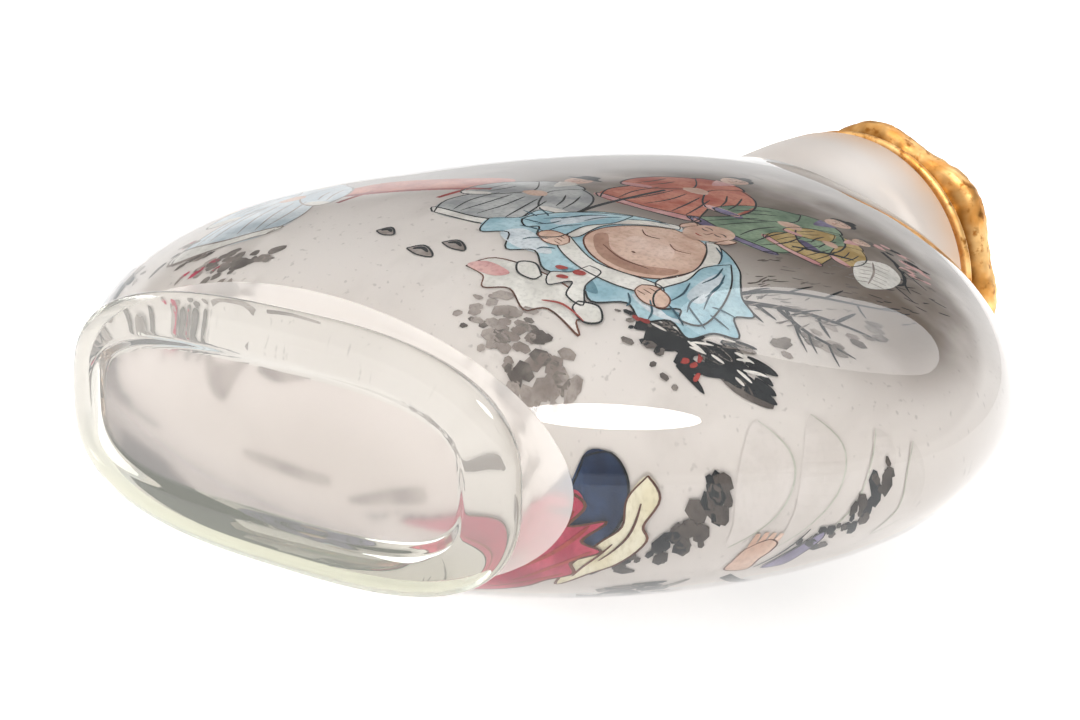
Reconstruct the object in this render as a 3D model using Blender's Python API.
"""Glass snuff bottle with a gilt collar, lying on its broad side, in metres."""

import math

import bmesh
import bpy

# Sizes along the bottle's own axis, which starts at the front of the foot.
BODY_WIDEST_AT = 0.0238
BELLY_DEPTH = 0.0275
SHOULDER_RISE = 0.0341
NECK_RISE = 0.0038
FOOT_RECESS_DEPTH = 0.0007
FOOT_WIDEST_AT = 0.0011
FOOT_GROOVE_RISE = 0.0013
BODY_LOW_POLE = BODY_WIDEST_AT - BELLY_DEPTH
BODY_HIGH_POLE = BODY_WIDEST_AT + SHOULDER_RISE
NECK_END = BODY_HIGH_POLE + NECK_RISE
FOOT_GROOVE_AT = FOOT_WIDEST_AT + FOOT_GROOVE_RISE

# Outer sizes across the axis: widths run left to right, thicknesses from face to face.
BODY_WIDTH = 0.0630
BODY_THICKNESS = 0.0237
FOOT_WIDTH = 0.0350
FOOT_THICKNESS = 0.0155
FOOT_GROOVE_DEPTH = 0.0011
FOOT_RIM_BAND = 0.0024
NECK_WAIST_RADIUS = 0.0099
LIP_FLARE = 0.0009
LIP_ROUNDING = 0.0012
LIP_RADIUS = NECK_WAIST_RADIUS + LIP_FLARE

# The flat that the bottle lies on, worn into the lower face.
RESTING_FLAT_DEPTH = 0.0001

# The hollow.
SIDE_WALL = 0.0030
FACE_WALL = 0.0026
SHOULDER_WALL = 0.0052
FOOT_GLASS = 0.0068
BORE_RADIUS = 0.0040
BORE_ROUNDING = 0.0006

# The gilt collar: a bead by the glass, a cove, a lobed flange and a flat top.
SEAT_GAP = 0.0003
COLLAR_HEIGHT = 0.0046
COLLAR_SETBACK = 0.0008
BEAD_HEIGHT = 0.0007
COVE_DEPTH = 0.0008
FLANGE_OVERHANG = 0.0011
FLANGE_BAND = 0.0013
FLANGE_ROUNDING = 0.0005
LOBE_RISE = 0.0004
LOBE_COUNT = 7
MOUTH_CLEARANCE = 0.0004
COLLAR_EDGE_RADIUS = LIP_RADIUS - COLLAR_SETBACK
COLLAR_COVE_RADIUS = COLLAR_EDGE_RADIUS - COVE_DEPTH
COLLAR_FLANGE_RADIUS = COLLAR_COVE_RADIUS + FLANGE_OVERHANG
FLANGE_HIGH = COLLAR_HEIGHT - FLANGE_ROUNDING
FLANGE_LOW = FLANGE_HIGH - FLANGE_BAND

# Roundness of the outlines: 2 is an ellipse, more is squarer, less is more pointed.
LOW_PLAN_POWER, HIGH_PLAN_POWER = 1.80, 1.76
LOW_PROFILE_POWER, HIGH_PROFILE_POWER = 2.13, 3.12
BODY_SECTION_POWER = 1.94
FOOT_SECTION_POWER = 2.83
RECESS_SECTION_POWER = 3.28
NECK_BLEND_POWER = 24.0

# Where the neck starts inside the body and where it is full, as shares of the shoulder's rise.
NECK_START_RATIO, NECK_FULL_RATIO = 0.3, 0.7

# Facets.
ROUND_SEGMENTS = 56
COLLAR_SEGMENTS = 84
BELLY_STATIONS = 9
SHOULDER_STATIONS = 11
HOLLOW_STATIONS = 16
RIM_DEGREES = (0.0, 30.0, 55.0, 75.0, 90.0)
GROOVE_RATIOS = (0.4, 0.75, 1.0)
LIP_DEGREES = (0.0, 30.0, 60.0, 90.0)
MOUTH_DEGREES = (90.0, 45.0, 0.0)
SHARP_EDGE_DEGREES = 35

GLASS = (0.80, 0.82, 0.78, 1.0)
GILT = (0.80, 0.52, 0.16, 1.0)


def superellipse_share(u, power):
    """Height of a superellipse arc over the share u of its length, from 1 at 0 to 0 at 1."""
    return max(1.0 - min(abs(u), 1.0) ** power, 0.0) ** (1.0 / power)


def oval(y, low, widest, high, half_width, half_thickness):
    """Half width and half thickness of an egg-like flask at y, and zero beyond its poles."""
    if y < widest:
        u, plan, profile = (widest - y) / (widest - low), LOW_PLAN_POWER, LOW_PROFILE_POWER
    else:
        u, plan, profile = (y - widest) / (high - widest), HIGH_PLAN_POWER, HIGH_PROFILE_POWER
    return half_width * superellipse_share(u, plan), half_thickness * superellipse_share(u, profile)


def body_oval(y):
    return oval(y, BODY_LOW_POLE, BODY_WIDEST_AT, BODY_HIGH_POLE, BODY_WIDTH / 2, BODY_THICKNESS / 2)


def cavity_oval(y):
    return oval(
        y,
        FOOT_GLASS,
        max(BODY_WIDEST_AT, FOOT_GLASS + FACE_WALL),
        BODY_HIGH_POLE - SHOULDER_WALL,
        BODY_WIDTH / 2 - SIDE_WALL,
        BODY_THICKNESS / 2 - FACE_WALL,
    )


def resting_height():
    """Height of the resting flat over the bottle's axis."""
    return RESTING_FLAT_DEPTH - BODY_THICKNESS / 2


def smooth_step(value, start, end):
    t = min(max((value - start) / (end - start), 0.0), 1.0)
    return t * t * (3.0 - 2.0 * t)


def section_radius(angle, half_width, half_thickness, power):
    """Distance from the axis to a superellipse section in the direction of angle."""
    if min(half_width, half_thickness) <= 1e-6:
        return 0.0
    across = abs(math.cos(angle)) / half_width
    through = abs(math.sin(angle)) / half_thickness
    return (across**power + through**power) ** (-1.0 / power)


def joined_section(half_width, half_thickness, power, tube_radius, segments):
    """Points (x, z) round an oval section merged with a round tube of tube_radius on the same axis."""
    wide, thick = max(half_width, tube_radius), max(half_thickness, tube_radius)
    points = []
    for step in range(segments):
        turn = math.tau * step / segments
        angle = math.atan2(thick * math.sin(turn), wide * math.cos(turn))
        oval_radius = section_radius(angle, half_width, half_thickness, power)
        radius = (oval_radius**NECK_BLEND_POWER + tube_radius**NECK_BLEND_POWER) ** (1.0 / NECK_BLEND_POWER)
        points.append((radius * math.cos(angle), radius * math.sin(angle)))
    return points


def stations(start, end, count):
    """Stations from start to end, closer together towards both ends."""
    return [start + (end - start) * (1 - math.cos(math.pi * i / count)) / 2 for i in range(count + 1)]


def neck_radius(y):
    """Neck in and above the body: it grows out of the shoulder, then flares a little to the lip."""
    start = BODY_WIDEST_AT + NECK_START_RATIO * SHOULDER_RISE
    full = BODY_WIDEST_AT + NECK_FULL_RATIO * SHOULDER_RISE
    grown = smooth_step(y, start, full)
    flared = smooth_step(y, full, NECK_END - LIP_ROUNDING)
    return NECK_WAIST_RADIUS * grown + LIP_FLARE * flared


def foot_sections():
    """Foot from its recess over the rounded rim into the groove: (y, half sizes, power)."""
    wide, thick = FOOT_WIDTH / 2, FOOT_THICKNESS / 2
    recess = FOOT_RIM_BAND + FOOT_RECESS_DEPTH
    rows = [(FOOT_RECESS_DEPTH, wide - recess, thick - recess, RECESS_SECTION_POWER)]
    for turn in RIM_DEGREES:
        inset = FOOT_RIM_BAND * (1 - math.sin(math.radians(turn)))
        y = FOOT_WIDEST_AT * (1 - math.cos(math.radians(turn)))
        power = FOOT_SECTION_POWER + (RECESS_SECTION_POWER - FOOT_SECTION_POWER) * inset / FOOT_RIM_BAND
        rows.append((y, wide - inset, thick - inset, power))
    for share in GROOVE_RATIOS:
        inset = FOOT_GROOVE_DEPTH * (1 - math.sqrt(1 - share * share))
        y = FOOT_WIDEST_AT + FOOT_GROOVE_RISE * share
        rows.append((y, wide - inset, thick - inset, FOOT_SECTION_POWER))
    return rows


def outer_sections():
    """Sections of the outside, from the foot to the lip, as lists of (x, y, z)."""
    sections = []
    for y, half_width, half_thickness, power in foot_sections():
        ring = joined_section(half_width, half_thickness, power, 0.0, ROUND_SEGMENTS)
        sections.append([(x, y, z) for x, z in ring])
    body_start = FOOT_GROOVE_AT + FOOT_GROOVE_DEPTH
    body_start = min(body_start, BODY_WIDEST_AT - FOOT_GROOVE_DEPTH)
    belly = stations(body_start, 2 * BODY_WIDEST_AT - body_start, 2 * BELLY_STATIONS)
    shoulder = stations(BODY_WIDEST_AT - SHOULDER_RISE, BODY_HIGH_POLE, 2 * SHOULDER_STATIONS)
    for y in belly[: BELLY_STATIONS + 1] + shoulder[SHOULDER_STATIONS + 1 :]:
        half_width, half_thickness = body_oval(y)
        tube = neck_radius(y)
        ring = joined_section(half_width, half_thickness, BODY_SECTION_POWER, tube, ROUND_SEGMENTS)
        sections.append([(x, y, z) for x, z in ring])
    for turn in LIP_DEGREES:
        radius = LIP_RADIUS - LIP_ROUNDING * (1 - math.cos(math.radians(turn)))
        y = NECK_END - LIP_ROUNDING * (1 - math.sin(math.radians(turn)))
        ring = joined_section(0.0, 0.0, BODY_SECTION_POWER, radius, ROUND_SEGMENTS)
        sections.append([(x, y, z) for x, z in ring])
    return sections


def inner_sections():
    """Sections of the hollow, from the mouth down to the bottom of the cavity."""
    sections = []
    for turn in MOUTH_DEGREES:
        radius = BORE_RADIUS + BORE_ROUNDING * (1 - math.cos(math.radians(turn)))
        y = NECK_END - BORE_ROUNDING * (1 - math.sin(math.radians(turn)))
        ring = joined_section(0.0, 0.0, BODY_SECTION_POWER, radius, ROUND_SEGMENTS)
        sections.append([(x, y, z) for x, z in ring])
    top = BODY_HIGH_POLE - SHOULDER_WALL
    for y in reversed(stations(FOOT_GLASS, top, HOLLOW_STATIONS)[1:]):
        half_width, half_thickness = cavity_oval(y)
        tube = BORE_RADIUS * smooth_step(y, BODY_WIDEST_AT, top - BORE_RADIUS)
        ring = joined_section(half_width, half_thickness, BODY_SECTION_POWER, tube, ROUND_SEGMENTS)
        sections.append([(x, y, z) for x, z in ring])
    return sections


def ring_edges(ring):
    pairs = zip(ring, ring[1:] + ring[:1])
    return [edge for first, second in pairs for edge in first.link_edges if edge.other_vert(first) is second]


def extruded_ring(bm, ring, section):
    """Extrudes a ring of vertices and puts the new ones on the next section, in the same order."""
    grown = bmesh.ops.extrude_edge_only(bm, edges=ring_edges(ring))
    new = {part for part in grown["geom"] if isinstance(part, bmesh.types.BMVert)}
    following = []
    for vertex, place in zip(ring, section):
        partner = next(edge.other_vert(vertex) for edge in vertex.link_edges if edge.other_vert(vertex) in new)
        partner.co = place
        following.append(partner)
    return following


def lofted(bm, sections):
    """Skins the sections in turn and returns the edges of the first ring and of the last one."""
    ring = bmesh.ops.create_circle(bm, segments=len(sections[0]), radius=1.0, cap_ends=False)["verts"]
    for vertex, place in zip(ring, sections[0]):
        vertex.co = place
    first_edges = ring_edges(ring)
    for section in sections[1:]:
        ring = extruded_ring(bm, ring, section)
    return first_edges, ring_edges(ring)


def finished_object(name, bm, material, parent):
    bmesh.ops.recalc_face_normals(bm, faces=bm.faces)
    mesh = bpy.data.meshes.new(name)
    bm.to_mesh(mesh)
    bm.free()
    mesh.shade_smooth()
    mesh.set_sharp_from_angle(angle=math.radians(SHARP_EDGE_DEGREES))
    mesh.materials.append(material)
    made = bpy.data.objects.new(name, mesh)
    made.parent = parent
    bpy.context.collection.objects.link(made)
    return made


def surface_material(name, colour, roughness, metallic, transmission):
    material = bpy.data.materials.new(name)
    material.use_nodes = True
    shader = material.node_tree.nodes["Principled BSDF"]
    shader.inputs["Base Color"].default_value = colour
    shader.inputs["Roughness"].default_value = roughness
    shader.inputs["Metallic"].default_value = metallic
    shader.inputs["Transmission Weight"].default_value = transmission
    return material


def build_bottle(parent):
    """Glass body, foot and neck round the hollow, as one closed skin."""
    bm = bmesh.new()
    foot_edges, floor_edges = lofted(bm, outer_sections() + inner_sections())
    bmesh.ops.contextual_create(bm, geom=foot_edges)
    bmesh.ops.contextual_create(bm, geom=floor_edges)
    cut = bmesh.ops.bisect_plane(
        bm,
        geom=bm.verts[:] + bm.edges[:] + bm.faces[:],
        dist=1e-7,
        plane_co=(0, 0, resting_height()),
        plane_no=(0, 0, -1),
        clear_outer=True,
    )
    rim = [part for part in cut["geom_cut"] if isinstance(part, bmesh.types.BMEdge)]
    bmesh.ops.contextual_create(bm, geom=rim)
    clear_glass = surface_material("clear_glass", GLASS, roughness=0.03, metallic=0.0, transmission=1.0)
    return finished_object("bottle", bm, clear_glass, parent)


def collar_profile():
    """Section of the collar's ring as (radius, height over the seat), going round its skin."""
    mouth = BORE_RADIUS + BORE_ROUNDING + MOUTH_CLEARANCE
    cove = (BEAD_HEIGHT + FLANGE_LOW) / 2
    return [
        (mouth, 0.0),
        (COLLAR_EDGE_RADIUS - BEAD_HEIGHT / 2, 0.0),
        (COLLAR_EDGE_RADIUS, BEAD_HEIGHT / 2),
        (COLLAR_EDGE_RADIUS - BEAD_HEIGHT / 2, BEAD_HEIGHT),
        (COLLAR_COVE_RADIUS, (BEAD_HEIGHT + cove) / 2),
        ((COLLAR_COVE_RADIUS + COLLAR_FLANGE_RADIUS) / 2, (cove + FLANGE_LOW) / 2),
        (COLLAR_FLANGE_RADIUS, FLANGE_LOW),
        (COLLAR_FLANGE_RADIUS, FLANGE_HIGH),
        (COLLAR_FLANGE_RADIUS - FLANGE_ROUNDING, COLLAR_HEIGHT),
        ((mouth + COLLAR_COVE_RADIUS) / 2, COLLAR_HEIGHT),
        (mouth, COLLAR_HEIGHT),
    ]


def shape_lobes(bm):
    """Waves the flange in and out, fading to nothing at the cove. One lobe points straight up."""
    for vertex in bm.verts:
        radius = math.hypot(vertex.co.x, vertex.co.z)
        share = smooth_step(radius, COLLAR_COVE_RADIUS, COLLAR_FLANGE_RADIUS)
        if share > 0.0 and vertex.co.y > NECK_END + SEAT_GAP + BEAD_HEIGHT:
            turn = math.atan2(vertex.co.z, vertex.co.x)
            reach = radius + share * LOBE_RISE * math.cos(LOBE_COUNT * (turn - math.pi / 2))
            vertex.co.x *= reach / radius
            vertex.co.z *= reach / radius


def build_collar(parent):
    """Gilt ring on the lip: smooth edge by the glass, cove, lobed flange and a flat top round the mouth."""
    bm = bmesh.new()
    seat = NECK_END + SEAT_GAP
    corners = [bm.verts.new((radius, seat + height, 0.0)) for radius, height in collar_profile()]
    edges = [bm.edges.new(pair) for pair in zip(corners, corners[1:] + corners[:1])]
    bmesh.ops.spin(
        bm,
        geom=corners + edges,
        cent=(0, 0, 0),
        axis=(0, 1, 0),
        angle=math.tau,
        steps=COLLAR_SEGMENTS,
        use_merge=True,
    )
    shape_lobes(bm)
    gilt_metal = surface_material("gilt_metal", GILT, roughness=0.32, metallic=1.0, transmission=0.0)
    return finished_object("gilt_collar", bm, gilt_metal, parent)


def lying_place():
    """Place of the bottle when it lies level on its lower face, with its length centred."""
    return 0.0, -(NECK_END + SEAT_GAP + COLLAR_HEIGHT) / 2, -resting_height()


def clear_scene():
    for existing in list(bpy.data.objects):
        bpy.data.objects.remove(existing, do_unlink=True)


clear_scene()
frame = bpy.data.objects.new("bottle_axis", None)
bpy.context.collection.objects.link(frame)
frame.location = lying_place()
build_bottle(frame)
build_collar(frame)
